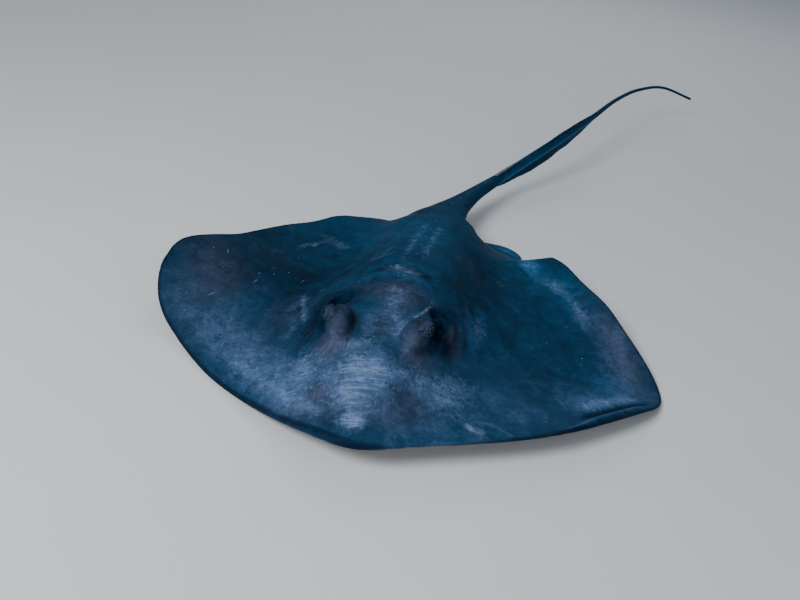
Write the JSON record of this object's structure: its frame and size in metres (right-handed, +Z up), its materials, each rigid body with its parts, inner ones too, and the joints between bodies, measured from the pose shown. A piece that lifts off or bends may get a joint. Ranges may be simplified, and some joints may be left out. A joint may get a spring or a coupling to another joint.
{
  "type": "stingray",
  "caption": "Life-size still model of a southern stingray at rest: raised snout, left wing tip down, right one curled up, tail swept to its left with a spine and a skin fold.",
  "frame": {"origin": "on the floor under the middle of the flat of the belly", "axes": "+Z up, +Y from the snout towards the tail, +X to the animal's left"},
  "size_m": [1.1631, 2.0282, 0.1554],
  "materials": {
    "skin": "smooth wet skin, dark blue-grey above with a haze of pale sand, white below",
    "tail_skin": "smooth wet skin, dark blue",
    "spine": "dull stained bone",
    "eye": "wet and glossy, dark"
  },
  "bodies": {
    "root": {"head": "skin", "trunk": "skin", "pectoral_fin_left": "skin", "pectoral_fin_right": "skin", "pelvic_fin_left": "skin", "pelvic_fin_right": "skin", "tail_root": "tail_skin", "tail_middle": "tail_skin", "tail_rear": "tail_skin", "tail_whip": "tail_skin", "tail_tip": "tail_skin", "tail_fold_lower": "tail_skin", "tail_keel_upper": "tail_skin", "sting": "spine", "eye_left": "eye", "eye_right": "eye"}
  },
  "joints": []
}
